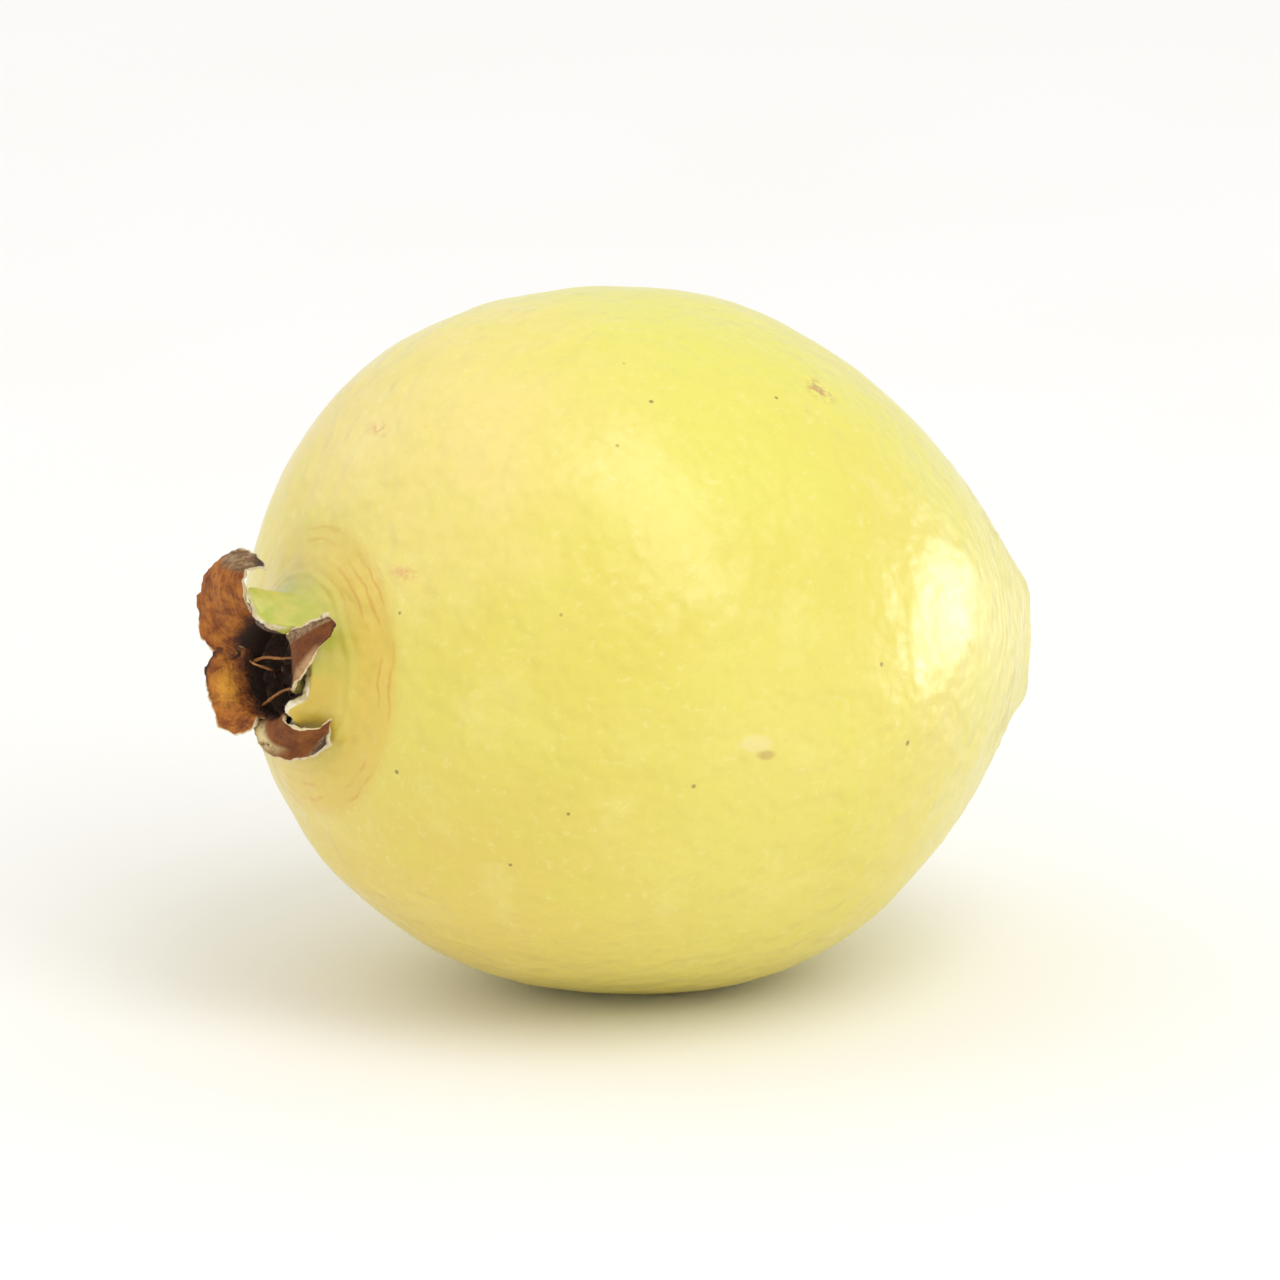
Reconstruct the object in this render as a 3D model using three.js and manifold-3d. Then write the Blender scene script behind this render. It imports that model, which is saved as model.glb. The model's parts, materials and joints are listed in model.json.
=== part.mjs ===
// A whole common guava lying on a table, with its dried calyx crown.
//
// Millimetres, +Z up, origin on the table under the middle of the fruit. The fruit lies on a small flat spot,
// with its calyx end towards -X and raised a little, because the stem end is the narrower one.
//
// Every piece is first made round the fruit's own axis: y runs from the stem end (negative) to the calyx
// (positive), and the angle "around" is 0 towards +Z and 90 degrees towards +X. The last group lays it down,
// which turns local +Y to world -X, local +X to world up and local +Z to world -Y.

import * as THREE from "three";
import { mergeVertices } from "three/addons/utils/BufferGeometryUtils.js";
import Module from "manifold-3d";

const wasm = await Module();
wasm.setup();

// ---------------------------------------------------------------- driving dimensions, mm and degrees

const GIRTH_RADIUS = 31.0; // half the greatest width
const CALYX_HALF = 34.3; // from the widest place to where the calyx pole would be
const CALYX_FULLNESS = 2.38; // 2 is an ellipse, more is squarer: the calyx end is blunt
const STEM_HALF = 40.3; // from the widest place to the tip that the stem end would have if it were not blunt
const SHOULDER_RADIUS = 8.0; // where the narrowing stem end turns over to the pit
const SHOULDER_ROUND = 0.9; // how far the turned-over end stands out beyond that
const PIT_RADIUS = 3.9;
const PIT_DEPTH = 2.0;
const SCAR_RADIUS = 2.3;
const SCAR_HEIGHT = 1.0;

const NECK_SINK = 2.3; // the neck sits this much below the fruit's axis
const NECK_FOOT_RADIUS = 11.5; // where the neck starts to rise from the fruit
const NECK_RADIUS = 6.4; // outside of the neck, just under its rim
const NECK_HEIGHT = 3.0; // rim above the calyx pole
const CUP_RADIUS = 5.0; // inside of the neck
const CUP_FLOOR = -2.0; // cup's floor, from the calyx pole

const LINING_GAP = 0.3;
const LINING_WALL = 0.7;
const SEPAL_THICKNESS = 0.8;
const SEPAL_EDGE_THICKNESS = 0.6;

const RISE = 7.6; // how far the calyx end is tilted up as the fruit lies
const FOOT_CUT = 0.8; // flesh pressed flat where the fruit rests

const AROUND_STEPS = 64;
const HALF_STEPS = 15; // rings in each half of the fruit

// How high the torn rim of the neck stands over its lowest places: angle around and height, straight in between.
// It is low where a sepal leaves the cup, and highest in the tooth between the near and the upper sepal.
const TORN_RIM = [
  [0, 0], [49, 0], [57, 1.7], [65, 2.6], [80, 2.9], [95, 3.4], [102, 2.2], [109, 0],
  [249, 0], [254, 0.6], [262, 0.6], [267, 0], [324, 0], [329, 1.2], [341, 1.2], [346, 0], [360, 0],
];
const TOOTH_LEANS_IN = 76; // up to here around the rim the tooth leans into the mouth,
const TOOTH_LEANS_OUT = 100; // and from here on it leans out

// The four sepals, from the one nearest the viewer upwards and round. base and tip are angles around the axis,
// spread is half the angle that the root spans, and climb is how far it runs straight up the cup. swing is 1 if
// the blade turns evenly from base to tip, and more if it turns late. Beyond the root a blade is wider by flare
// and then narrows to tipWidth, at once if taper is 1 and only near the tip if it is more. lean is the blade's
// angle from the axis of the fruit at even steps: 0 stands straight out of the cup, 90 lies flat, more curls
// back to the fruit.
const SEPALS = [
  {
    base: 17, tip: 44, spread: 30, swing: 0.9, climb: 3.9,
    flare: 0.05, taper: 1.1, tipWidth: 0.1, length: 5.7, lean: [72, 126, 144, 138],
  },
  {
    base: 145, tip: 96, spread: 37, swing: 2, climb: 3.2,
    flare: 0.5, taper: 4, tipWidth: 0.6, length: 8.3, lean: [24, 40, 92, 222],
  },
  {
    base: 214, tip: 212, spread: 49, swing: 1, climb: 3.2,
    flare: 0.3, taper: 3, tipWidth: 0.5, length: 3.2, lean: [18, 14, 22, 52],
  },
  {
    base: 294, tip: 334, spread: 30, swing: 1.2, climb: 3.2,
    flare: 0.5, taper: 1.8, tipWidth: 0.35, length: 5.8, lean: [52, 108, 150, 195],
  },
];
const SEPAL_FOLD = 0.3; // how far the sides of a blade lift beside its midrib, for its width
const SEPAL_WAVE = 0.35; // height of the waves of its margin

// Soft swellings and hollows of the flesh: angle around the axis, place along it, reach and height.
const SWELLINGS = [
  { around: 304, along: -16, reach: 9, height: 0.9 },
  { around: 82, along: -15, reach: 9, height: -0.6 },
  { around: 126, along: 17, reach: 10, height: 0.4 },
  { around: 253, along: 21, reach: 9, height: -0.45 },
  { around: 15, along: 19, reach: 9, height: 0.4 },
  { around: 30, along: -3, reach: 8, height: -0.3 },
  { around: 190, along: -6, reach: 12, height: 0.5 },
  { around: 215, along: -22, reach: 8, height: -0.45 },
  { around: 165, along: -20, reach: 8, height: 0.35 },
  { around: 236, along: 30, reach: 7, height: -0.75 },
  { around: 160, along: 29, reach: 7, height: 0.45 },
];

// Knobs on the ring round the stem pit.
const KNOBS = [
  { around: 52, height: 0.9 },
  { around: 326, height: 1.0 },
  { around: 272, height: 0.5 },
  { around: 224, height: 0.7 },
  { around: 170, height: 0.5 },
  { around: 112, height: 0.7 },
];
const KNOB_RING = 6.2; // radius of the ring that the knobs stand on
const KNOB_REACH = 1.5;

const STAMEN_COUNT = 9;
const STAMEN_RADIUS = 0.3;

const COLOURS = { fruit: 0xe8dc6e, calyx: 0x8a5228, stamens: 0x2e2419, stem_scar: 0x6a5335 };

// ---------------------------------------------------------------- helpers

const rad = THREE.MathUtils.degToRad;
const mix = THREE.MathUtils.lerp;
const smooth = THREE.MathUtils.smoothstep;

// A geometry as a manifold-3d solid, with its shared vertices merged.
function solid(geometry) {
  const bare = geometry.clone();
  bare.deleteAttribute("normal");
  bare.deleteAttribute("uv");
  const merged = mergeVertices(bare, 1e-4);
  return new wasm.Manifold(
    new wasm.Mesh({
      numProp: 3,
      vertProperties: merged.attributes.position.array,
      triVerts: new Uint32Array(merged.index.array),
    }),
  );
}

// A manifold-3d solid back as a geometry.
function geometryOf(made) {
  const mesh = made.getMesh();
  const geometry = new THREE.BufferGeometry();
  geometry.setAttribute("position", new THREE.BufferAttribute(new Float32Array(mesh.vertProperties), 3));
  geometry.setIndex(new THREE.BufferAttribute(new Uint32Array(mesh.triVerts), 1));
  geometry.computeVertexNormals();
  return geometry;
}

function mesh(name, geometry, roughness) {
  const material = new THREE.MeshStandardMaterial({ color: COLOURS[name], roughness, metalness: 0 });
  const made = new THREE.Mesh(geometry, material);
  made.name = name;
  return made;
}

// Smallest signed difference of two angles, in degrees.
const turn = (a, b) => ((((a - b) % 360) + 540) % 360) - 180;

// A point from its distance to the axis, its height along it and its angle around it, in degrees.
const place = (radius, along, around) =>
  new THREE.Vector3(radius * Math.sin(rad(around)), along, radius * Math.cos(rad(around)));

// Moves every vertex of a geometry: move(radius, along, around) gives the new radius and height.
function reshape(geometry, move) {
  const position = geometry.attributes.position;
  for (let i = 0; i < position.count; i++) {
    const radius = Math.hypot(position.getX(i), position.getZ(i));
    const around = THREE.MathUtils.radToDeg(Math.atan2(position.getX(i), position.getZ(i)));
    const [r, y] = move(radius, position.getY(i), around);
    const moved = place(r, y, around);
    position.setXYZ(i, moved.x, moved.y, moved.z);
  }
  return geometry;
}

// ---------------------------------------------------------------- the fruit

// Height of the neck's torn rim at an angle, over its lowest places.
function rimTooth(around) {
  const at = (around + 360) % 360;
  const next = Math.max(1, TORN_RIM.findIndex(([angle]) => angle >= at));
  const [[a, low], [b, high]] = [TORN_RIM[next - 1], TORN_RIM[next]];
  return mix(low, high, (at - a) / (b - a));
}

// Half outline of the flesh, from the middle of the stem pit round to the middle of the cup's floor.
function fruitProfile() {
  const points = [];
  const add = (radius, along) => points.push(new THREE.Vector2(radius, along));
  const stemEnd = -STEM_HALF * Math.sqrt(1 - SHOULDER_RADIUS / GIRTH_RADIUS);
  const ring = stemEnd - SHOULDER_ROUND;

  // The pit, then out over the ring of knobs.
  add(0, ring + PIT_DEPTH);
  add(PIT_RADIUS * 0.6, ring + PIT_DEPTH);
  add(PIT_RADIUS * 0.85, ring + PIT_DEPTH * 0.7);
  add(PIT_RADIUS, ring + PIT_DEPTH * 0.3);
  add(PIT_RADIUS + 0.6, ring + 0.12);
  add(PIT_RADIUS + 1.5, ring - 0.05);
  add((PIT_RADIUS + 1.5 + SHOULDER_RADIUS) / 2, ring + 0.22);

  // The stem half narrows along a parabola, and the calyx half is blunt up to the foot of the neck.
  for (let i = 0; i <= HALF_STEPS; i++) {
    const along = stemEnd * Math.cos((Math.PI / 2) * (i / HALF_STEPS)) ** 0.9;
    add(GIRTH_RADIUS * (1 - (along / STEM_HALF) ** 2), along);
  }
  const footTurn = Math.acos((NECK_FOOT_RADIUS / GIRTH_RADIUS) ** (CALYX_FULLNESS / 2));
  for (let i = 1; i <= HALF_STEPS; i++) {
    const a = footTurn * (i / HALF_STEPS);
    add(GIRTH_RADIUS * Math.cos(a) ** (2 / CALYX_FULLNESS), CALYX_HALF * Math.sin(a) ** (2 / CALYX_FULLNESS));
  }

  // The neck sweeps up out of the flesh, rounds over its rim and drops into the cup.
  const rim = CALYX_HALF + NECK_HEIGHT;
  const foot = points[points.length - 1];
  const slope = (foot.y - points[points.length - 2].y) / (points[points.length - 2].x - foot.x);
  const bend = new THREE.Vector2(NECK_RADIUS + 0.2, foot.y + slope * (foot.x - NECK_RADIUS - 0.2));
  const sweep = new THREE.QuadraticBezierCurve(foot, bend, new THREE.Vector2(NECK_RADIUS, rim - 0.8));
  points.push(...sweep.getPoints(5).slice(1));
  add(NECK_RADIUS - 0.1, rim - 0.2);
  add((NECK_RADIUS + CUP_RADIUS) / 2, rim);
  add(CUP_RADIUS + 0.05, rim - 0.2);
  add(CUP_RADIUS, rim - 0.7);
  add(CUP_RADIUS, rim - 1.5);
  add(CUP_RADIUS, CALYX_HALF + CUP_FLOOR + 0.8);
  add(CUP_RADIUS - 0.5, CALYX_HALF + CUP_FLOOR);
  add(0, CALYX_HALF + CUP_FLOOR);
  return points;
}

// Height of the soft swellings and hollows at a place on the flesh.
function swelling(radius, along, around) {
  let height = 0;
  for (const s of SWELLINGS) {
    const across = radius * rad(turn(around, s.around));
    height += s.height * Math.exp(-(across ** 2 + (along - s.along) ** 2) / (2 * s.reach ** 2));
  }
  return height;
}

// Height of the knobs round the stem pit.
function knob(radius, around) {
  return KNOBS.reduce((height, k) => {
    const gap = place(radius, 0, around).distanceTo(place(KNOB_RING, 0, k.around));
    return height + k.height * Math.exp(-(gap ** 2) / (2 * KNOB_REACH ** 2));
  }, 0);
}

function makeFruit() {
  const body = new THREE.LatheGeometry(fruitProfile(), AROUND_STEPS);
  const rim = CALYX_HALF + NECK_HEIGHT;
  reshape(body, (radius, along, around) => {
    // The neck's rim stands up between the sepals, and leans into the mouth there.
    const onNeck = smooth(along, rim - 1.4, rim - 0.1) * smooth(radius, CUP_RADIUS - 1, CUP_RADIUS);
    const tooth = rimTooth(around);
    const leanOut = mix(-0.34, 0.4, smooth(around, TOOTH_LEANS_IN, TOOTH_LEANS_OUT));
    const neckRadius = radius + onNeck * tooth * leanOut;
    const neckAlong = along + onNeck * tooth;

    // The flesh swells and sinks along its own normal, which is close to the direction from its middle.
    const outward = new THREE.Vector2(radius, along).normalize();
    const flesh = 1 - smooth(along, 0, 5) * (1 - smooth(radius, NECK_FOOT_RADIUS - 1.5, NECK_FOOT_RADIUS + 4.5));
    const stemSide = smooth(-along, STEM_HALF - 14, STEM_HALF - 7);
    const knobs = stemSide * smooth(radius, PIT_RADIUS * 0.9, PIT_RADIUS + 0.8) * knob(radius, around);
    const height = flesh * (1 - stemSide) * swelling(radius, along, around) + knobs;
    return [Math.max(neckRadius + outward.x * height, 0), neckAlong + outward.y * height];
  });
  sinkNeck(body);
  return solid(body);
}

// The neck and all that grows in it sits a little below the fruit's axis.
function sinkNeck(geometry) {
  const position = geometry.attributes.position;
  for (let i = 0; i < position.count; i++) {
    const part = smooth(position.getY(i), CALYX_HALF - 11, CALYX_HALF - 1.5);
    position.setX(i, position.getX(i) - NECK_SINK * part);
  }
  return geometry;
}

// ---------------------------------------------------------------- the dried calyx

// The lining of the cup: a thin-walled dish that the sepals grow from.
function makeLining() {
  const outside = CUP_RADIUS - LINING_GAP;
  const inside = outside - LINING_WALL;
  const under = CALYX_HALF + CUP_FLOOR + LINING_GAP;
  const top = CALYX_HALF + NECK_HEIGHT - 1.0;
  const profile = [
    [0, under],
    [outside - 0.6, under],
    [outside, under + 0.7],
    [outside, top - 0.3],
    [outside - LINING_WALL / 2, top],
    [inside, top - 0.3],
    [inside, under + LINING_WALL + 0.4],
    [inside - 0.5, under + LINING_WALL],
    [0, under + LINING_WALL],
  ].map(([radius, along]) => new THREE.Vector2(radius, along));
  return solid(new THREE.LatheGeometry(profile, 36));
}

// One sepal: a thin torn blade that starts inside the lining's wall, climbs over the rim and curls away.
const SEPAL_STEPS = 14;
const SEPAL_HALF_WIDTH_STEPS = 4;

function makeSepal(sepal) {
  const rootRadius = CUP_RADIUS - LINING_GAP - LINING_WALL * 0.55;
  const rootAlong = CALYX_HALF + NECK_HEIGHT - 2.4;
  const climb = sepal.climb;
  const across = 2 * SEPAL_HALF_WIDTH_STEPS;

  // The midrib, as steps along the blade.
  const rib = [];
  let radius = rootRadius;
  let along = rootAlong;
  const step = (sepal.length + climb) / SEPAL_STEPS;
  for (let i = 0; i <= SEPAL_STEPS; i++) {
    const travelled = i * step;
    const t = Math.max(0, (travelled - climb) / sepal.length);
    const at = Math.min(t * 3, 2.999);
    const bent = mix(sepal.lean[Math.floor(at)], sepal.lean[Math.floor(at) + 1], at % 1);
    const lean = rad(bent * smooth(travelled, climb * 0.4, climb * 1.15));
    rib.push({ t, radius, along, lean });
    radius += step * Math.sin(lean);
    along += step * Math.cos(lean);
  }

  const inner = [];
  const outer = [];
  for (const { t, radius: r, along: y, lean } of rib) {
    const flared = 1 + sepal.flare * Math.sin((Math.PI / 2) * Math.min(1, t * 1.4));
    const halfWidth = rootRadius * rad(sepal.spread) * flared * mix(1, sepal.tipWidth, t ** sepal.taper);
    const heading = sepal.base + turn(sepal.tip, sepal.base) * t ** sepal.swing;
    const bowed = mix(1, 0.25, smooth(t, 0, 0.9));
    for (let j = -SEPAL_HALF_WIDTH_STEPS; j <= SEPAL_HALF_WIDTH_STEPS; j++) {
      const v = j / SEPAL_HALF_WIDTH_STEPS;
      const torn = t > 0.6 ? 1 - 0.16 * Math.abs(Math.sin(7 * v + sepal.base)) * (t - 0.6) * 2.5 : 1;
      const side = halfWidth * v;
      // Near the root the blade follows the cup's wall, and further up it opens, folds and waves by itself.
      const bend = (side / Math.max(r, rootRadius)) * bowed;
      const lift = (SEPAL_FOLD * halfWidth * v * v + SEPAL_WAVE * Math.sin(4.2 * v + sepal.base)) * t;
      const normal = [Math.cos(lean), -Math.sin(lean)]; // away from the fruit's axis, in radius and along
      const radial = (r * torn + lift * normal[0]) * Math.cos(bend) - side * (1 - bowed) * Math.sin(bend);
      const sideways = r * Math.sin(bend) + side * (1 - bowed);
      const height = y + lift * normal[1] - (1 - torn) * Math.cos(lean) * 2;
      const thick = mix(SEPAL_THICKNESS, SEPAL_EDGE_THICKNESS, Math.max(v * v, t)) / 2;
      const turned = rad(heading);
      const point = (sign) => {
        const out = radial + sign * thick * normal[0];
        return new THREE.Vector3(
          out * Math.sin(turned) + sideways * Math.cos(turned),
          height + sign * thick * normal[1],
          out * Math.cos(turned) - sideways * Math.sin(turned),
        );
      };
      inner.push(point(-1));
      outer.push(point(1));
    }
  }
  return solid(slab(outer, inner, rib.length, across + 1));
}

// A closed slab from two grids of points, rows by columns, that face each other.
function slab(front, back, rows, columns) {
  const index = [];
  const offset = front.length;
  const at = (row, column) => row * columns + column;
  const quad = (a, b, c, d) => index.push(a, b, c, a, c, d);
  for (let row = 0; row + 1 < rows; row++) {
    for (let column = 0; column + 1 < columns; column++) {
      const corners = [at(row, column), at(row, column + 1), at(row + 1, column + 1), at(row + 1, column)];
      quad(...corners);
      quad(...corners.map((c) => c + offset).reverse());
    }
  }
  const edge = [];
  for (let column = 0; column < columns; column++) edge.push(at(0, column));
  for (let row = 1; row < rows; row++) edge.push(at(row, columns - 1));
  for (let column = columns - 2; column >= 0; column--) edge.push(at(rows - 1, column));
  for (let row = rows - 2; row > 0; row--) edge.push(at(row, 0));
  edge.forEach((a, i) => {
    const b = edge[(i + 1) % edge.length];
    quad(b, a, a + offset, b + offset);
  });
  const geometry = new THREE.BufferGeometry();
  const points = [...front, ...back].flatMap((p) => p.toArray());
  geometry.setAttribute("position", new THREE.Float32BufferAttribute(points, 3));
  geometry.setIndex(index);
  return geometry;
}

function makeCalyx() {
  return SEPALS.map(makeSepal).reduce((crown, sepal) => crown.add(sepal), makeLining());
}

// ---------------------------------------------------------------- what is left of the flower, in the cup

function makeStamens() {
  const floor = CALYX_HALF + CUP_FLOOR + LINING_GAP + LINING_WALL + LINING_GAP;
  const room = CUP_RADIUS - LINING_GAP - LINING_WALL - LINING_GAP;
  // The floral disc with the broken style in its middle.
  const discProfile = [
    [0, floor],
    [room - 0.5, floor],
    [room, floor + 0.45],
    [room - 0.25, floor + 0.8],
    [room * 0.55, floor + 0.6],
    [0.6, floor + 0.7],
    [0.38, floor + 2.6],
    [0, floor + 2.9],
  ].map(([radius, along]) => new THREE.Vector2(radius, along));
  let flower = solid(new THREE.LatheGeometry(discProfile, 20));
  // Withered filaments, fallen across each other inside the mouth.
  for (let i = 0; i < STAMEN_COUNT; i++) {
    const around = (360 * i) / STAMEN_COUNT + 14 * Math.sin(5 * i);
    const tall = 2.2 + 1.3 * Math.sin(2.3 * i + 1);
    const across = around + 180 + 50 * Math.sin(3.7 * i);
    const curve = new THREE.CatmullRomCurve3([
      place(room * 0.76, floor + 0.3, around),
      place(room * 0.74, floor + 0.6 * tall, around + 8),
      place(room * 0.3, floor + tall, around + 20),
      place(room * 0.5, floor + 0.9 * tall, across),
    ]);
    const section = new THREE.Shape().absarc(0, 0, STAMEN_RADIUS, 0, 2 * Math.PI);
    const options = { extrudePath: curve, steps: 8, curveSegments: 3, bevelEnabled: false };
    flower = flower.add(solid(new THREE.ExtrudeGeometry(section, options)));
  }
  return flower;
}

// ---------------------------------------------------------------- the corky scar of the stalk

function makeStemScar(pitFloor) {
  const under = pitFloor - LINING_GAP;
  const profile = [
    [0, under - SCAR_HEIGHT],
    [SCAR_RADIUS * 0.35, under - SCAR_HEIGHT * 0.8],
    [SCAR_RADIUS * 0.6, under - SCAR_HEIGHT],
    [SCAR_RADIUS * 0.9, under - SCAR_HEIGHT * 0.75],
    [SCAR_RADIUS, under - SCAR_HEIGHT * 0.35],
    [SCAR_RADIUS * 0.75, under],
    [0, under],
  ].map(([radius, along]) => new THREE.Vector2(radius, along));
  const scar = new THREE.LatheGeometry(profile, 24);
  return reshape(scar, (radius, along, around) => {
    const rough = 0.07 * Math.sin(2 * rad(around) + 1) + 0.04 * Math.sin(5 * rad(around));
    return [radius * (1 + rough), along];
  });
}

// ---------------------------------------------------------------- laying the fruit down

const towardsCalyx = new THREE.Vector3(-Math.cos(rad(RISE)), 0, Math.sin(rad(RISE)));
const upright = new THREE.Vector3(Math.sin(rad(RISE)), 0, Math.cos(rad(RISE)));
const side = new THREE.Vector3(0, -1, 0);
const layDown = new THREE.Matrix4().makeBasis(upright, towardsCalyx, side);

// The table takes a thin slice off the lowest flesh, which leaves the flat spot that the fruit rests on.
function restOnTable(flesh) {
  const box = geometryOf(flesh).applyMatrix4(layDown);
  box.computeBoundingBox();
  const tableTop = box.boundingBox.min.z + FOOT_CUT;
  const table = new THREE.BoxGeometry(80, 80, 20).translate(0, 0, tableTop - 10);
  table.applyMatrix4(layDown.clone().invert());
  return flesh.subtract(solid(table));
}

const fruitSolid = restOnTable(makeFruit());
const pitFloor = fruitProfile()[0].y;

const lying = new THREE.Group();
lying.setRotationFromMatrix(layDown);
lying.add(
  mesh("fruit", geometryOf(fruitSolid), 0.4),
  mesh("calyx", sinkNeck(geometryOf(makeCalyx())), 0.85),
  mesh("stamens", sinkNeck(geometryOf(makeStamens())), 0.9),
  mesh("stem_scar", makeStemScar(pitFloor), 0.9),
);

const guava = new THREE.Group();
guava.add(lying);
guava.updateMatrixWorld(true);
const reach = new THREE.Box3().setFromObject(guava, true);
lying.position.set(-(reach.min.x + reach.max.x) / 2, -(reach.min.y + reach.max.y) / 2, -reach.min.z);

export default guava;
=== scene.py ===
# %% [markdown]
# # A guava, lying on a table
# One ripe common guava: a yellow, waxy berry with the dried crown of its flower at one end and the scar
# of its stalk at the other. The solid model fixes its size and place. This lesson gives it its skin,
# its torn and curled sepals, the withered threads in the cup, the corky scar, and a plain studio to
# stand in.

# %% Start from the fixed frame
import json
import math
import random

import bpy
import numpy as np
from mathutils import Matrix, Vector

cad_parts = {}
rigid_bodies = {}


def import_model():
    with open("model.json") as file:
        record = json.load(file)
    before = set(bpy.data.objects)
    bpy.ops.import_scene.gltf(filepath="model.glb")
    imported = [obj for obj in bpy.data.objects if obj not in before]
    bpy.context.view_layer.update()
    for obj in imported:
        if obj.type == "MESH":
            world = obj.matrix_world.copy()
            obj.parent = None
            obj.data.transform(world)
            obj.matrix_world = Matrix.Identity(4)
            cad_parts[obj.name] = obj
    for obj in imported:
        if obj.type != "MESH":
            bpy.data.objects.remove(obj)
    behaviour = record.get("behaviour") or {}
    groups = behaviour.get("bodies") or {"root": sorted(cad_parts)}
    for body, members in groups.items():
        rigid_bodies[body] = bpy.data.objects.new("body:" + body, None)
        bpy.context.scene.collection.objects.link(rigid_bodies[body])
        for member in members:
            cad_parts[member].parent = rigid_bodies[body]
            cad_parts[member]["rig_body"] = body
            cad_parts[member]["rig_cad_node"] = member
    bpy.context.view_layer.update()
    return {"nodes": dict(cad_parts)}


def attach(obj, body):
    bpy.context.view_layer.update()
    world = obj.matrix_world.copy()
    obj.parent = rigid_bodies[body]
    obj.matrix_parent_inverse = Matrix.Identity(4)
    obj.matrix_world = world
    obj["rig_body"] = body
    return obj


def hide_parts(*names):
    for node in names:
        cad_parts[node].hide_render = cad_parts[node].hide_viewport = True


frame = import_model()
MM = 0.001  # one millimetre in Blender's metres

# %% [markdown]
# ## The fruit's own axis
# The fruit lies with its calyx end a little raised, so its axis is neither level nor along X. Every
# pattern and every piece of the crown is easier to make round that axis, so its three directions are
# worked out once: sideways to the viewer, upright, and towards the calyx. A distance along the axis
# counts from the widest place.

# %% Directions of the fruit
RISE = math.radians(7.6)
FRUIT_MIDDLE = Vector((2.4447, -0.2074, 30.1861)) * MM  # on the axis, at the widest place
SIDEWAYS = Vector((0, -1, 0))
UPRIGHT = Vector((math.sin(RISE), 0, math.cos(RISE)))
CALYXWARD = Vector((-math.cos(RISE), 0, math.sin(RISE)))
LAID = Matrix((SIDEWAYS, UPRIGHT, CALYXWARD)).transposed()

NECK_DROP = 2.3  # mm, the neck sits this much below the axis
RIM = 37.3  # mm, the plane of the neck's rim
STEM_TIP = -35.6  # mm, the ring round the stem pit


def fruit_point(side, up, along):
    """A point given in millimetres on the fruit's own axes, as a place in the scene."""
    return FRUIT_MIDDLE + LAID @ Vector((side, up, along)) * MM


neck_middle = fruit_point(0, -NECK_DROP, RIM)
print("middle of the cup's mouth, mm:", [round(c / MM, 2) for c in neck_middle])

# %% [markdown]
# ## Tools for the bench
# An operator acts on whatever is selected, so each step starts from an empty selection. A few small
# helpers keep that tidy: choose one object, choose some of its vertices by their place, and read a mesh
# as numbers.

# %% Selecting and measuring
def choose(piece):
    bpy.ops.object.select_all(action="DESELECT")
    bpy.context.view_layer.objects.active = piece
    piece.select_set(True)
    return piece


def settle():
    """Bakes the chosen object's place, turn and size into its mesh."""
    bpy.ops.object.transform_apply(location=True, rotation=True, scale=True)


def pick_vertices(piece, numbers):
    """In edit mode: selects just these vertices."""
    bpy.ops.mesh.select_all(action="DESELECT")
    bpy.ops.object.mode_set(mode="OBJECT")
    chosen = np.zeros(len(piece.data.vertices), bool)
    chosen[numbers] = True
    piece.data.vertices.foreach_set("select", chosen)
    bpy.ops.object.mode_set(mode="EDIT")


def points_of(piece, what="co"):
    """The places (co) or normals (normal) of a mesh's vertices, one row each."""
    source = piece.data.vertices if what == "co" else piece.data.vertex_normals
    flat = np.zeros(len(piece.data.vertices) * 3, np.float32)
    source.foreach_get("co" if what == "co" else "vector", flat)
    return flat.reshape(-1, 3).astype(float)


def on_fruit(piece):
    """Each vertex in millimetres on the fruit's own axes: sideways, upright, towards the calyx."""
    return (points_of(piece) - np.array(FRUIT_MIDDLE)) @ np.array(LAID) / MM


def ramp(value, low, high):
    """0 below low, 1 above high, and smooth in between."""
    t = np.clip((value - low) / (high - low), 0, 1)
    return t * t * (3 - 2 * t)


def triangles(piece):
    return sum(len(face.vertices) - 2 for face in piece.data.polygons)


# %% Keeping a number on each vertex
def note(piece, name, values):
    """Stores a number for each vertex, which both modifiers and materials can read."""
    kept = piece.data.attributes.get(name) or piece.data.attributes.new(name, "FLOAT", "POINT")
    kept.data.foreach_set("value", np.asarray(values, np.float32))


def noted(piece, name):
    values = np.zeros(len(piece.data.vertices), np.float32)
    piece.data.attributes[name].data.foreach_get("value", values)
    return values.astype(float)


def weigh(piece, name, values):
    """A vertex group, which tells a modifier how strongly to act at each vertex."""
    group = piece.vertex_groups.get(name) or piece.vertex_groups.new(name=name)
    for number, value in enumerate(np.clip(values, 0, 1)):
        if value > 0.001:
            group.add([number], float(value), "REPLACE")


# %% Pressing a pattern into a surface
def finish_with(piece, kind, **settings):
    """Adds one modifier, sets it and applies it."""
    choose(piece)
    bpy.ops.object.modifier_add(type=kind)
    added = piece.modifiers[-1]
    for name, value in settings.items():
        setattr(added, name, value)
    bpy.ops.object.modifier_apply(modifier=added.name)


def press(piece, kind, size, height, group="", at=(0, 0, 0), middle=0.5, direction="NORMAL", **look):
    """Moves a surface in and out by a procedural pattern; size and height are in millimetres."""
    pattern = bpy.data.textures.new(piece.name + "_" + kind.lower(), kind)
    for name, value in look.items():
        setattr(pattern, name, value)
    bpy.ops.object.empty_add(location=at)
    centre = bpy.context.active_object
    centre.scale = (size * MM,) * 3
    bpy.context.view_layer.update()
    finish_with(piece, "DISPLACE", texture=pattern, texture_coords="OBJECT",
                texture_coords_object=centre, strength=height * MM, mid_level=middle,
                vertex_group=group, direction=direction)
    bpy.data.objects.remove(centre)
    bpy.data.textures.remove(pattern)


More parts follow.
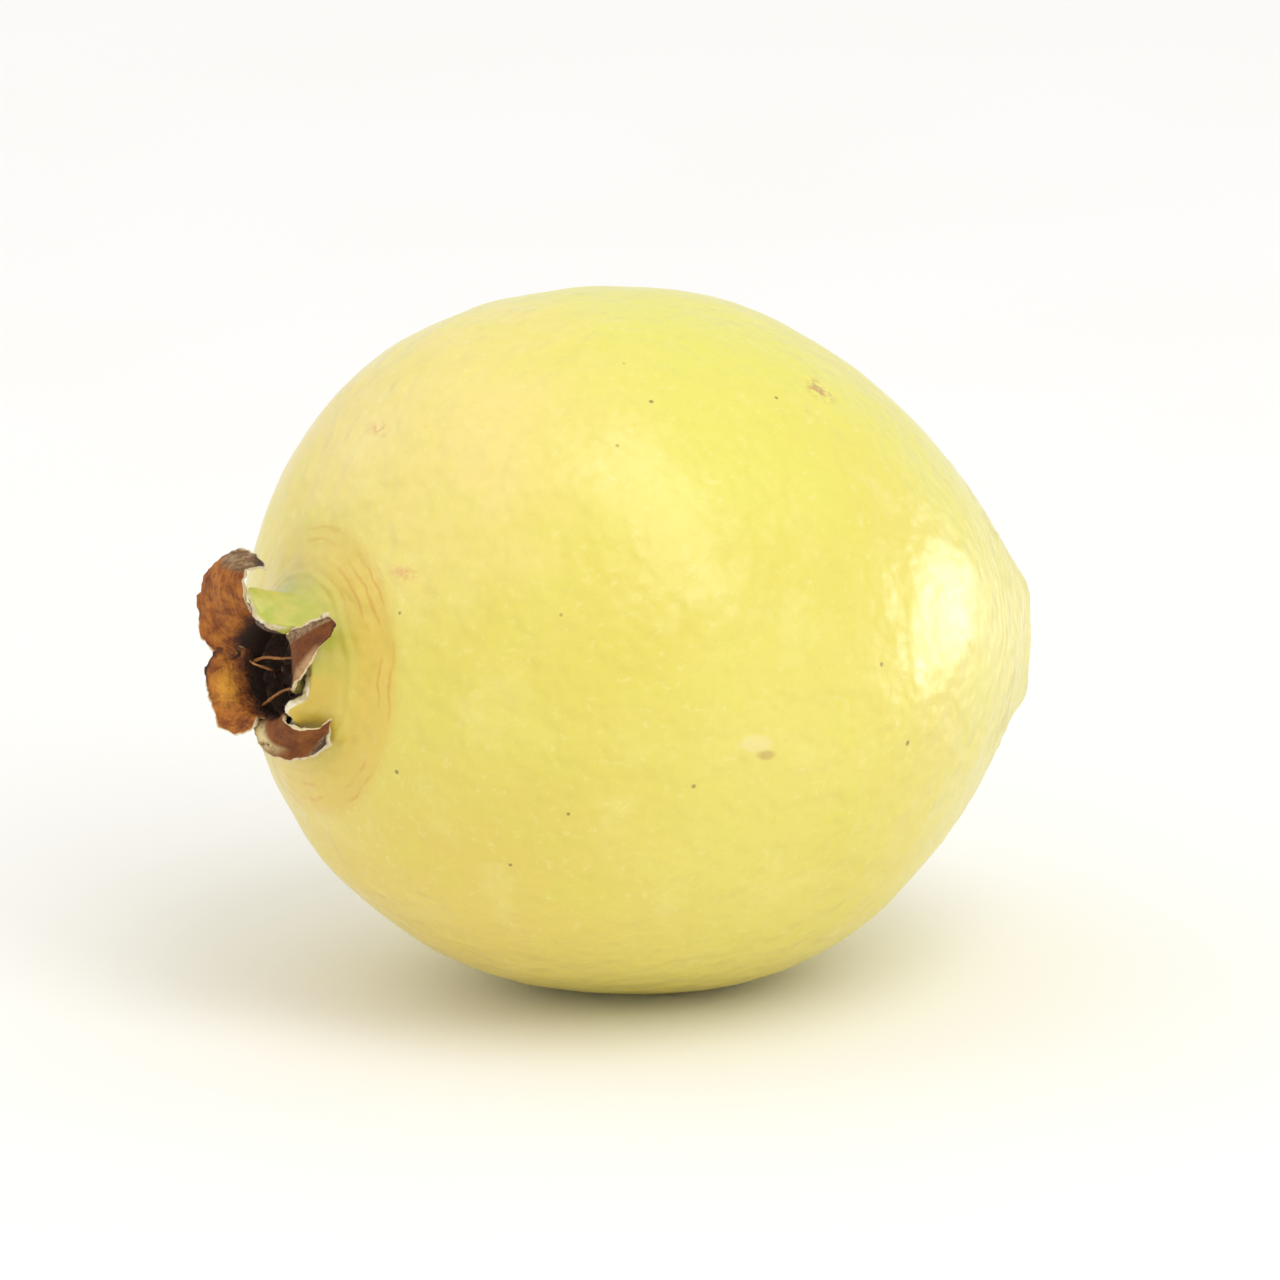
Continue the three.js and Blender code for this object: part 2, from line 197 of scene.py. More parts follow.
# %% [markdown]
# ## The skin
# The flesh and its skin are one body, which the solid model already has: an egg that is blunt at the
# calyx, with a short neck, and narrows to the stem end. A sphere could be pulled into that shape again,
# but a merged copy of the solid's own faces keeps the form exactly. Subdivision rounds its facets away,
# and the edge of the small flat spot that the fruit rests on is creased first, so that it stays on the
# table.

# %% A working copy of the body
def working_copy(node, name):
    choose(frame["nodes"][node])
    bpy.ops.object.duplicate()
    piece = bpy.context.active_object
    bpy.ops.object.parent_clear(type="CLEAR_KEEP_TRANSFORM")
    piece.name = piece.data.name = name
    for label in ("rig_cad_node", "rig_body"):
        del piece[label]
    piece.data.materials.clear()
    bpy.ops.object.mode_set(mode="EDIT")
    bpy.ops.mesh.select_all(action="SELECT")
    bpy.ops.mesh.remove_doubles(threshold=0.002 * MM)
    bpy.ops.mesh.tris_convert_to_quads(face_threshold=math.radians(50),
                                       shape_threshold=math.radians(60))
    bpy.ops.mesh.customdata_custom_splitnormals_clear()
    bpy.ops.object.mode_set(mode="OBJECT")
    return piece


skin = working_copy("fruit", "skin")
print("skin starts with", len(skin.data.polygons), "faces")

# %% Crease the resting spot
bpy.ops.object.mode_set(mode="EDIT")
foot = [v.index for v in skin.data.vertices if v.co.z < 0.01 * MM]
pick_vertices(skin, foot)
bpy.ops.mesh.region_to_loop()
bpy.ops.transform.edge_crease(value=1.0)
bpy.ops.object.mode_set(mode="OBJECT")
print("resting spot has", len(foot), "vertices")

# %% Finer faces on the neck, then round everything
place = on_fruit(skin)
from_neck = np.hypot(place[:, 0], place[:, 1] + NECK_DROP)
bpy.ops.object.mode_set(mode="EDIT")
pick_vertices(skin, np.flatnonzero((from_neck < 9) & (place[:, 2] > 31.5)))
bpy.ops.mesh.subdivide(number_cuts=1)
bpy.ops.object.mode_set(mode="OBJECT")
finish_with(skin, "SUBSURF", levels=2, render_levels=2)
bpy.ops.object.shade_smooth()
print("skin has", triangles(skin), "triangles")

# %% [markdown]
# The neck's rim was torn as the flower opened. Where a face of the neck looks along the axis it is that
# torn, cream edge, and where it looks inwards it is the wall of the cup. Both are kept as numbers on
# the vertices, so that relief and colour can follow them later.

# %% Note the torn rim and the wall of the cup
place, facing = on_fruit(skin), points_of(skin, "normal") @ np.array(LAID)
over_neck = place[:, 1] + NECK_DROP
from_neck = np.hypot(place[:, 0], over_neck)
outward = (facing[:, 0] * place[:, 0] + facing[:, 1] * over_neck) / np.maximum(from_neck, 0.01)
near_rim = ramp(place[:, 2], RIM - 2.0, RIM - 1.0) * (from_neck < 9)
note(skin, "torn_rim", near_rim * ramp(facing[:, 2], 0.25, 0.75) * ramp(-outward, -0.75, -0.1))
facing_in = (from_neck < 7) * ramp(place[:, 2], 30, 31) * ramp(-outward, 0.2, 0.6)
note(skin, "cup_wall", facing_in + (from_neck < 4.8))
off_table = ramp(points_of(skin)[:, 2] / MM, 0.05, 2.5)
from_stem = np.hypot(place[:, 0], place[:, 1]) + 100 * (place[:, 2] > 0)
on_body = off_table * ramp(from_neck, 7, 11) * ramp(from_stem, 3, 9)
torn = noted(skin, "torn_rim") > 0.5
print("torn rim reaches", round(float(place[torn, 2].max()), 1), "mm along the axis")

# %% Relief of the skin
weigh(skin, "body", on_body)
weigh(skin, "rim", noted(skin, "torn_rim"))
weigh(skin, "stem_side", off_table * ramp(from_stem, 3.5, 6) * (1 - ramp(from_stem, 15, 27)))
weigh(skin, "neck_side", ramp(from_neck, 6.5, 8.5) * (1 - ramp(from_neck, 13, 18)) * (place[:, 2] > 20))
press(skin, "CLOUDS", size=9, height=0.34, group="body", noise_scale=1.0, noise_depth=1)
press(skin, "CLOUDS", size=3.4, height=0.16, group="body", noise_scale=1.0, noise_depth=1)
press(skin, "WOOD", size=5.4, height=0.12, group="stem_side", at=fruit_point(0, 0, STEM_TIP),
      wood_type="RINGNOISE", noise_scale=0.9, turbulence=9.0, nabla=0.03)
press(skin, "WOOD", size=3.6, height=0.1, group="neck_side", at=neck_middle,
      wood_type="RINGNOISE", noise_scale=1.2, turbulence=6.0, nabla=0.03)
press(skin, "CLOUDS", size=0.6, height=0.6, group="rim", middle=0.6, noise_scale=1.0, noise_depth=2)
print("skin relief, mm:", [round(c / MM, 2) for c in skin.dimensions])

# %% [markdown]
# One old scratch healed into a low, crescent lip. A small dent beside a small rise makes it, each
# pressed in with a pattern that is strongest at its centre and gone at its rim.

# %% The healed scratch
SCRATCH, SCRATCH_DENT = (30.7, -1.6, 6.5), (30.7, -1.1, 7.2)
for at, size, height in ((SCRATCH, 2.6, 0.3), (SCRATCH_DENT, 1.7, -0.42)):
    press(skin, "BLEND", size, height, "body", at=fruit_point(*at), middle=0.0,
          progression="SPHERICAL")
skin.vertex_groups.clear()

# %% [markdown]
# ## The dried crown
# Four sepals are left of the torn calyx. Each was once a part of the closed bud's wall, so each starts
# as a strip of a tube with the cup's own radius. Its rows are then widened or narrowed, carried along
# the sepal's curling midrib, and turned round the axis. A flat sheet bent by hand would not sit on the
# cup's wall so well. The crown is made upright at the origin, where directions are simple, and laid
# into the neck at the end.
#
# A sepal's facts are these. `base` and `tip` say where its root and its end stand round the axis, in
# degrees from the viewer's side, and `swing` how late it turns from one to the other. `spread` is half
# its width in degrees. It climbs the wall for `climb` millimetres and is free for `length` more,
# leaning out by the four angles of `lean`. `flare` widens it, `taper` and `tip_width` narrow its end,
# and `fold` and `cockle` bend its sides and its face by so many millimetres.

# %% The midrib of a sepal
ROOT_RADIUS = 4.3  # mm, inside the wall of the cup
ROOT_DEPTH = 2.4  # mm below the rim
ROWS = 18
SEPALS = {
    "sepal_near": dict(base=21, tip=41, spread=36, swing=0.9, climb=3.1, length=5.5,
                       lean=(60, 112, 136, 132), flare=0.1, taper=1.1, tip_width=0.1,
                       fold=(0.3, -0.9), cockle=0.5, columns=10, seed=3),
    "sepal_upper": dict(base=150, tip=94, spread=38, swing=1.6, climb=3.2, length=7.9,
                        lean=(26, 48, 92, 178), flare=0.62, taper=2.8, tip_width=0.5,
                        fold=(1.2, 0.1), cockle=0.5, columns=12, seed=11),
    "sepal_far": dict(base=217, tip=223, spread=53, swing=1, climb=3.2, length=3.0,
                      lean=(14, 12, 26, 54), flare=0.38, taper=2.2, tip_width=0.5,
                      fold=(0.4, 0.3), cockle=0.6, columns=14, seed=23),
    "sepal_lower": dict(base=290, tip=334, spread=34, swing=1.2, climb=3.0, length=5.1,
                        lean=(62, 122, 156, 190), flare=0.4, taper=1.3, tip_width=0.25,
                        fold=(-1.2, 0.4), cockle=0.5, columns=10, seed=37),
}


def midrib(climb, length, lean):
    """For each row: share of the free length, distance from the axis and height, in millimetres."""
    reach, height = ROOT_RADIUS, -ROOT_DEPTH
    step = (length + climb) / ROWS
    rib = []
    for row in range(ROWS + 1):
        travelled = row * step
        t = max(0.0, (travelled - climb) / length)
        key = min(t * 3, 2.999)
        bent = lean[int(key)] + (lean[int(key) + 1] - lean[int(key)]) * (key % 1)
        angle = math.radians(bent * float(ramp(travelled, 0.4 * climb, 1.15 * climb)))
        rib.append((t, reach, height))
        reach += step * math.sin(angle)
        height += step * math.cos(angle)
    return rib


# %% Cut a strip from a tube
def strip_of_tube(name, spread, columns):
    """A strip of the cup's wall, ROWS high, with its place along and across kept on its vertices."""
    around = round(360 * columns / (2 * spread))
    bpy.ops.object.select_all(action="DESELECT")
    bpy.ops.mesh.primitive_cylinder_add(vertices=around, radius=ROOT_RADIUS * MM, depth=ROWS * MM,
                                        end_fill_type="NOTHING", rotation=(0, 0, -math.pi / 2))
    piece = bpy.context.active_object
    piece.name = piece.data.name = name
    settle()
    bpy.ops.object.mode_set(mode="EDIT")
    bpy.ops.mesh.select_all(action="SELECT")
    angle = np.degrees(np.arctan2(*points_of(piece)[:, 1::-1].T))
    pick_vertices(piece, np.flatnonzero(np.abs(angle) > spread * (1 + 0.5 / columns)))
    bpy.ops.mesh.delete(type="VERT")
    bpy.ops.object.mode_set(mode="OBJECT")
    bpy.context.tool_settings.mesh_select_mode = (False, True, False)
    for edge in piece.data.edges:
        ends = [piece.data.vertices[i].co.z for i in edge.vertices]
        edge.select = abs(ends[0] - ends[1]) > MM
    bpy.ops.object.mode_set(mode="EDIT")
    bpy.ops.mesh.subdivide(number_cuts=ROWS - 1)
    bpy.ops.mesh.select_mode(type="VERT")
    bpy.ops.object.mode_set(mode="OBJECT")
    place = points_of(piece)
    note(piece, "along", place[:, 2] / (ROWS * MM) + 0.5)
    note(piece, "across", np.degrees(np.arctan2(place[:, 1], place[:, 0])) / spread)
    return piece


# %% Shape the strip into a curling blade
def turn_about_axis(degrees):
    """Turns the selection round the upright axis; with no window the operator turns the other way."""
    bpy.ops.transform.rotate(value=-math.radians(degrees), orient_axis="Z", orient_type="GLOBAL",
                             center_override=(0, 0, 0))


def shape_sepal(piece, base, tip, spread, swing, climb, flare, taper, tip_width, length, lean, **rest):
    rows = np.rint(noted(piece, "along") * ROWS).astype(int)
    turn = (tip - base + 180) % 360 - 180
    arc = math.radians(spread)
    bpy.ops.object.mode_set(mode="EDIT")
    for row, (t, reach, height) in enumerate(midrib(climb, length, lean)):
        opened = float(ramp(t, 0, 0.9))
        width = 1 + flare * math.sin(math.pi / 2 * min(1, 1.4 * t))
        width *= 1 + (tip_width - 1) * t ** taper
        width *= 1 + opened * (arc / math.sin(arc) - 1)
        hollow = max(width ** 2 * (1 - 0.75 * opened) * ROOT_RADIUS / reach, 0.05)
        row_height = row - ROWS / 2
        pick_vertices(piece, np.flatnonzero(rows == row))
        bpy.ops.transform.resize(value=(hollow, width, 1),
                                 center_override=(ROOT_RADIUS * MM, 0, row_height * MM))
        shift = (reach - ROOT_RADIUS, 0, height - row_height)
        bpy.ops.transform.translate(value=[s * MM for s in shift])
        turn_about_axis(base + turn * t ** swing)
    bpy.ops.object.mode_set(mode="OBJECT")


# %% [markdown]
# A dried sepal is a thin, brittle leaf. Its sides fold back a little beside the midrib, its surface
# cockles, and its margin is torn and frilled. Solidify gives it thickness and says which vertices
# belong to the new outer face and to the edge between the faces, so the material can tell the brown
# inner face, the greener outer face and the cream torn edge apart.

# %% Fold, cockle, thicken and tear
def dry_out(piece, fold, cockle, seed, **rest):
    along, across, free = (noted(piece, name) for name in ("along", "across", "free"))
    weigh(piece, "cockled", ramp(free, 0, 0.6))
    weigh(piece, "thickness", 1 - 0.3 * np.maximum(across ** 2, along))
    for group, hand, bend in (("side0", -1, fold[0]), ("side1", 1, fold[1])):
        weigh(piece, group, across ** 2 * (across * hand > 0) * free)
        finish_with(piece, "DISPLACE", strength=bend * MM, mid_level=0.0, vertex_group=group)
    away = (seed * MM, 0, 0)
    press(piece, "CLOUDS", 2.6, cockle, "cockled", at=away, noise_scale=1.0, noise_depth=1)
    for name in ("new_face", "new_edge"):
        piece.vertex_groups.new(name=name)
    finish_with(piece, "SOLIDIFY", thickness=0.5 * MM, offset=0, vertex_group="thickness",
                thickness_vertex_group=0.2, use_even_offset=False, use_rim=True,
                shell_vertex_group="new_face", rim_vertex_group="new_edge")
    finish_with(piece, "SUBSURF", levels=3, render_levels=3)
    for name, group in (("inner_face", "new_face"), ("torn_edge", "new_edge")):
        number = piece.vertex_groups[group].index
        weights = [sum(g.weight for g in v.groups if g.group == number) for v in piece.data.vertices]
        note(piece, name, weights)


def fray(piece, seed, **rest):
    along, across = noted(piece, "along"), np.abs(noted(piece, "across"))
    margin = np.maximum(ramp(across, 0.6, 1), ramp(along, 0.85, 1)) * ramp(along, 0.25, 0.45)
    weigh(piece, "margin", margin)
    weigh(piece, "blade", ramp(along, 0.2, 0.4))
    away = (-seed * MM, seed * MM, 0)
    press(piece, "CLOUDS", 1.1, 0.55, "margin", at=away, direction="RGB_TO_XYZ", noise_scale=1.0,
          noise_depth=1, cloud_type="COLOR")
    press(piece, "CLOUDS", 0.9, 0.3, "blade", at=away, noise_scale=1.0, noise_depth=2)
    press(piece, "CLOUDS", 0.28, 0.1, "blade", noise_scale=1.0, noise_depth=1)


# %% Lay a piece into its place
def lay_down(piece, placed):
    """Moves a piece that was made upright at the origin to its place on the fruit."""
    choose(piece)
    piece.matrix_world = placed
    settle()
    piece.vertex_groups.clear()
    bpy.ops.object.shade_smooth()
    size = [round(d / MM, 1) for d in piece.dimensions]
    print(piece.name, triangles(piece), "triangles,", size, "mm")


IN_NECK = Matrix.Translation(neck_middle) @ LAID.to_4x4()
sepals = []
for name, facts in SEPALS.items():
    sepal = strip_of_tube(name, facts["spread"], facts["columns"])
    travelled = noted(sepal, "along") * (facts["climb"] + facts["length"])
    note(sepal, "travelled", travelled)
    note(sepal, "free", np.maximum(0, travelled - facts["climb"]) / facts["length"])
    shape_sepal(sepal, **facts)
    dry_out(sepal, **facts)
    fray(sepal, **facts)
    lay_down(sepal, IN_NECK)
    sepals.append(sepal)

# %% [markdown]
# ## The cup and what is left of the flower
# Inside the crown is a small dark cup. Round things are drawn ring by ring: a circle is extruded and
# scaled from one radius and height to the next, which is a lathe done by hand and gives even faces for
# the wrinkles to bend. The cup gets a lining, and on its floor lies the flower's disc with the stump of
# the style.

# %% Drawing a round piece ring by ring
def ring_by_ring(name, outline, around):
    """Extrudes a circle through (radius, height) pairs in millimetres; a radius of 0 closes the end."""
    bpy.ops.object.select_all(action="DESELECT")
    radius, height = outline[0]
    bpy.ops.mesh.primitive_circle_add(vertices=around, radius=radius * MM, location=(0, 0, height * MM))
    piece = bpy.context.active_object
    piece.name = piece.data.name = name
    settle()
    bpy.ops.object.mode_set(mode="EDIT")
    bpy.ops.mesh.select_all(action="SELECT")
    for new_radius, new_height in outline[1:]:
        step = (0, 0, (new_height - height) * MM)
        bpy.ops.mesh.extrude_region_move(TRANSFORM_OT_translate={"value": step})
        if new_radius > 0:
            bpy.ops.transform.resize(value=(new_radius / radius, new_radius / radius, 1),
                                     center_override=(0, 0, new_height * MM))
        else:
            bpy.ops.mesh.merge(type="CENTER")
        radius, height = new_radius, new_height
    bpy.ops.mesh.select_all(action="SELECT")
    bpy.ops.mesh.remove_doubles(threshold=0.001 * MM)
    bpy.ops.object.mode_set(mode="OBJECT")
    return piece


def close_end(piece, height):
    """Draws each ring at that height to its middle as a fan of faces, which closes the open end.

    A second ring at the same height, as the cup and the scar have, leaves a spare fan in the base.
    """
    bpy.ops.object.mode_set(mode="EDIT")
    pick_vertices(piece, np.flatnonzero(np.abs(points_of(piece)[:, 2] - height * MM) < 0.001 * MM))
    bpy.ops.mesh.extrude_region_move(TRANSFORM_OT_translate={"value": (0, 0, 0)})
    bpy.ops.mesh.merge(type="CENTER")
    bpy.ops.mesh.select_all(action="SELECT")
    bpy.ops.mesh.normals_make_consistent(inside=False)
    bpy.ops.object.mode_set(mode="OBJECT")


# %% The cup's lining
CUP_OUTLINE = [(1.6, -4.68), (3.2, -4.7), (4.1, -4.68), (4.55, -4.4), (4.7, -4.0), (4.7, -2.8),
               (4.68, -1.6), (4.6, -1.2), (4.35, -1.0), (4.1, -1.2), (4.0, -1.6), (4.0, -2.6),
               (3.95, -3.4), (3.6, -3.9), (2.6, -4.0), (1.2, -4.0), (0, -4.0)]
cup = ring_by_ring("calyx_cup", CUP_OUTLINE, 40)
close_end(cup, CUP_OUTLINE[0][1])
finish_with(cup, "SUBSURF", levels=2, render_levels=2)
place = points_of(cup) / MM
weigh(cup, "wall", ramp(place[:, 2], -3.9, -2.5) * (np.hypot(place[:, 0], place[:, 1]) < 4.3))
press(cup, "CLOUDS", 0.9, 0.35, "wall", noise_scale=1.0, noise_depth=2)
lay_down(cup, IN_NECK)

# %% The flower's disc and the stump of its style
DISC_OUTLINE = [(3.2, -3.7), (3.66, -3.45), (3.6, -3.1), (3.2, -2.92), (2.6, -3.0), (1.9, -3.12),
                (1.2, -3.06), (0.7, -2.9), (0.5, -2.5), (0.42, -1.9), (0.36, -1.2), (0.3, -0.9),
                (0, -0.85)]
disc = ring_by_ring("flower_disc", DISC_OUTLINE, 32)
close_end(disc, DISC_OUTLINE[0][1])
finish_with(disc, "SUBSURF", levels=2, render_levels=2)
press(disc, "CLOUDS", 0.8, 0.3, noise_scale=1.0, noise_depth=2)
lay_down(disc, IN_NECK)

# %% [markdown]
# The stamens have withered to threads. One thread is a thin six-sided rod, extruded step by step along
# a bent path and thinned towards its tip. The others are copies of it, turned, stretched and leaned by
# seeded chance, and two long ones lie right across the mouth of the cup.

# %% One withered thread
def draw_thread(name, path, thick, thin):
    """A rod through points in millimetres, from one radius to another, closed at both ends."""
    bpy.ops.object.select_all(action="DESELECT")
    points = [Vector(p) * MM for p in path]
    heading = (points[1] - points[0]).normalized()
    bpy.ops.mesh.primitive_circle_add(vertices=6, radius=thick * MM, fill_type="NGON",
                                      location=points[0],
                                      rotation=heading.to_track_quat("Z", "Y").to_euler())
    piece = bpy.context.active_object
    piece.name = piece.data.name = name
    settle()
    bpy.ops.object.mode_set(mode="EDIT")
    bpy.ops.mesh.select_all(action="SELECT")
    shrink = (thin / thick) ** (1 / (len(points) - 1))
    for before, after in zip(points, points[1:]):
        bpy.ops.mesh.extrude_region_move(TRANSFORM_OT_translate={"value": after - before})
        bpy.ops.transform.resize(value=(shrink,) * 3, center_override=after)
    bpy.ops.mesh.select_all(action="SELECT")
    bpy.ops.mesh.normals_make_consistent(inside=False)
    bpy.ops.object.mode_set(mode="OBJECT")
    finish_with(piece, "SUBSURF", levels=2, render_levels=2)
    return piece


THREADS = 13
THREAD_ROOT = -3.2  # mm, where the threads leave the disc
CURLED = [(0, 0, 0), (0.05, 0.1, 0.5), (-0.05, 0.25, 1.0), (-0.35, 0.35, 1.45), (-0.8, 0.4, 1.7),
          (-1.3, 0.55, 1.75)]
thread = draw_thread("withered_threads", CURLED, 0.17, 0.07)
print("one thread has", triangles(thread), "triangles")

# %% Copies round the cup, and two long ones across it
chance = random.Random(8)
copies = []
for number in range(THREADS):
    choose(thread)
    bpy.ops.object.duplicate()
    one = bpy.context.active_object
    around = math.tau * number / THREADS + chance.uniform(-0.15, 0.15)
    reach = chance.uniform(2.6, 3.2)
    tall = chance.uniform(0.6, 0.95)
    one.location = Vector((reach * math.cos(around), reach * math.sin(around), THREAD_ROOT)) * MM
    one.rotation_euler = (chance.uniform(-0.25, 0.25), chance.uniform(-0.2, 0.3),
                          around + chance.uniform(-0.6, 0.6))
    one.scale = (chance.uniform(0.8, 1.3), 1, tall)
    copies.append(one)
LONG_THREADS = [
    [(-4.5, -0.4, -0.6), (-3.3, 0.1, -0.2), (-1.6, 0.8, -0.1), (0.4, 1.1, 0.0), (2.3, 1.6, 0.1),
     (4.1, 2.1, -0.3)],
    [(-2.3, -3.8, -0.7), (-1.2, -3.4, -0.2), (0.4, -2.4, 0.0), (1.8, -1.5, 0.0), (2.9, -1.0, 0.1),
     (4.2, -0.6, -0.3)],
]
for number, path in enumerate(LONG_THREADS):
    copies.append(draw_thread(f"long_thread_{number}", path, 0.2, 0.13))
choose(thread)
for one in copies:
    one.select_set(True)
bpy.ops.object.join()
settle()
press(thread, "CLOUDS", 0.5, 0.12, noise_scale=1.0, noise_depth=1)
lay_down(thread, IN_NECK)

# %% [markdown]
# ## The scar of the stalk
# At the other end the stalk broke off and left a small corky plug at the bottom of a shallow pit. It is
# another round piece, drawn ring by ring with a hollow middle where the stalk's strands ended, and
# roughened until the rings are hardly seen.

# %% The corky plug
SCAR_FLOOR = -33.91  # mm along the fruit's axis, just above the pit's floor
SCAR_OUTLINE = [(1.2, 0.05), (1.9, 0.05), (2.2, 0.2), (2.3, 0.45), (2.15, 0.8), (1.8, 0.98),
                (1.45, 1.0), (1.15, 0.86), (0.9, 0.78), (0.62, 0.8), (0.4, 0.72), (0, 0.66)]
scar = ring_by_ring("stalk_scar", SCAR_OUTLINE, 36)
close_end(scar, SCAR_OUTLINE[0][1])
finish_with(scar, "SUBSURF", levels=3, render_levels=3)
weigh(scar, "top", ramp(points_of(scar)[:, 2] / MM, 0.15, 0.4))
press(scar, "CLOUDS", 0.8, 0.34, "top", noise_scale=1.0, noise_depth=2)
press(scar, "CLOUDS", 0.22, 0.12, "top", noise_scale=1.0, noise_depth=1)
upside_down = Matrix.Rotation(math.pi, 4, "X")
lay_down(scar, Matrix.Translation(fruit_point(0, 0, SCAR_FLOOR)) @ LAID.to_4x4() @ upside_down)

# %% [markdown]
# ## Building finishes from nodes
# Every finish here is a recipe of noise, distances and blends, so it has no edges and no repeats. A few
# short helpers add a node, wire what it needs and hand back its output, which lets a recipe read from
# top to bottom.

# %% Helpers for recipes
def new_finish(name, **sockets):
    made = bpy.data.materials.new(name)
    made.use_nodes = True
    shader = made.node_tree.nodes["Principled BSDF"]
    for socket, value in sockets.items():
        shader.inputs[socket.replace("_", " ")].default_value = value
    return made, made.node_tree, shader


def add(tree, kind, inputs=(), output=0, **settings):
    """Adds a node, sets it, fills its inputs with values or wires, and returns one of its outputs."""
    made = tree.nodes.new("ShaderNode" + kind)
    for name, value in settings.items():
        setattr(made, name, value)
    for which, value in dict(inputs).items():
        if isinstance(value, bpy.types.NodeSocket):
            tree.links.new(value, made.inputs[which])
        else:
            made.inputs[which].default_value = value
    return made.outputs[output]


def maths(tree, operation, first, second=0.5):
    return add(tree, "Math", {0: first, 1: second}, operation=operation)


def length_of(tree, vector):
    return add(tree, "VectorMath", {0: vector}, output=1, operation="LENGTH")


def kept_number(tree, name):
    """Reads a number that note() put on the vertices."""
    return add(tree, "Attribute", output=2, attribute_name=name)


def between(tree, value, low, high):
    """0 at low, 1 at high, smooth in between; low may be the greater."""
    return add(tree, "MapRange", {0: value, 1: low, 2: high}, interpolation_type="SMOOTHSTEP")


def product(tree, *values):
    result = values[0]
    for value in values[1:]:
        result = maths(tree, "MULTIPLY", result, value)
    return result


def paint(code):
    """A colour written as six hex digits, as linear light."""
    parts = [int(code[i:i + 2], 16) / 255 for i in (0, 2, 4)]
    return [p / 12.92 if p <= 0.04045 else ((p + 0.055) / 1.055) ** 2.4 for p in parts] + [1.0]


def blend(tree, amount, first, second):
    """Goes from the first colour to the second; each is a wire, a list or six hex digits."""
    first, second = (paint(c) if isinstance(c, str) else c for c in (first, second))
    return add(tree, "Mix", {0: amount, 6: first, 7: second}, output=2, data_type="RGBA")


def noise(tree, where, scale, detail=3.0, roughness=0.55, distortion=0.0):
    """A scale of 1 gives marks about a millimetre wide where `where` counts in millimetres."""
    return add(tree, "TexNoise", {"Vector": where, "Scale": scale, "Detail": detail,
                                  "Roughness": roughness, "Distortion": distortion})


def lift(tree, shader, height, distance_mm, strength=1.0, under=None):
    """Bump of that height, given to the shader; returns its output so that another can lie on it."""
    inputs = {"Height": height, "Distance": distance_mm * MM, "Strength": strength}
    if under is not None:
        inputs["Normal"] = under
    out = add(tree, "Bump", inputs)
    tree.links.new(out, shader.inputs["Normal"])
    return out


# %% Coordinates that follow the fruit
def along_fruit(tree, origin=(0, 0, 0)):
    """Millimetres on the fruit's own axes, counted from a point on them."""
    turned = LAID.to_euler("XYZ")
    coordinates = add(tree, "TexCoord", output=3)
    return add(tree, "Mapping", {"Vector": coordinates, "Location": fruit_point(*origin),
                                 "Rotation": turned, "Scale": (MM, MM, MM)}, vector_type="TEXTURE")


def parts_of(tree, vector):
    split = tree.nodes.new("ShaderNodeSeparateXYZ")
    tree.links.new(vector, split.inputs[0])
    return split.outputs[0], split.outputs[1], split.outputs[2]


# %% [markdown]
# ## The finish of the skin
# Ripe guava skin is pale yellow, greener on top and at the neck, warmer and peachy at the calyx
# shoulder, and faintly mottled everywhere. A waxy bloom gives it a satin gloss with a tighter one over
# it, so a thin coat lies on a softer base. Broad colour comes from where a point is on the fruit, and
# noise breaks up each edge.

# %% Broad colour of the skin
skin_finish, tree, shader = new_finish("waxy_guava_skin", Roughness=0.45, Coat_Weight=0.5,
                                       Coat_Roughness=0.2)
where = along_fruit(tree)
side, up, along = parts_of(tree, where)
drift = noise(tree, where, 0.05, 2)
wobble = add(tree, "MapRange", {0: drift, 1: 0.3, 2: 0.7, 3: -6.0, 4: 6.0})
up_soft = maths(tree, "ADD", up, wobble)
along_soft = maths(tree, "ADD", along, wobble)
colour = blend(tree, between(tree, drift, 0.35, 0.65), "E4D45A", "E8DA66")
colour = blend(tree, product(tree, between(tree, up_soft, 4, 27), 0.75), colour, "E4DF5C")
shoulder = product(tree, between(tree, along_soft, 10, 30), between(tree, up_soft, -2, 18))
colour = blend(tree, product(tree, shoulder, 0.75), colour, "F4DA84")
low_front = product(tree, between(tree, along_soft, 4, 26), between(tree, up_soft, -4, -22))
colour = blend(tree, product(tree, low_front, 0.7), colour, "E5C95E")
# Paler towards the stem end: this is painted light on the side that the low side strip faces.
colour = blend(tree, product(tree, between(tree, along_soft, -12, -30), 0.55), colour, "ECE274")

# %% Mottling of the skin
blotches = noise(tree, where, 0.16, 3, 0.6)
grain = noise(tree, where, 1.1, 3, 0.65)
colour = blend(tree, product(tree, between(tree, blotches, 0.52, 0.72), 0.35), colour, "E2DB58")
colour = blend(tree, product(tree, between(tree, blotches, 0.45, 0.25), 0.3), colour, "F2E68A")
colour = blend(tree, product(tree, between(tree, grain, 0.52, 0.8), 0.3), colour, "DCCB54")
colour = blend(tree, product(tree, between(tree, grain, 0.45, 0.25), 0.3), colour, "F6ECA0")

# %% [markdown]
# The neck is the greenest part, brightest just under the torn rim. Round its foot the skin has healed
# fine orange-brown cracks, in broken rings that are concentric with the neck. They come from a wave of
# the distance to the neck's axis, disturbed and masked by noise, and they are strongest on the side
# that faces the viewer.

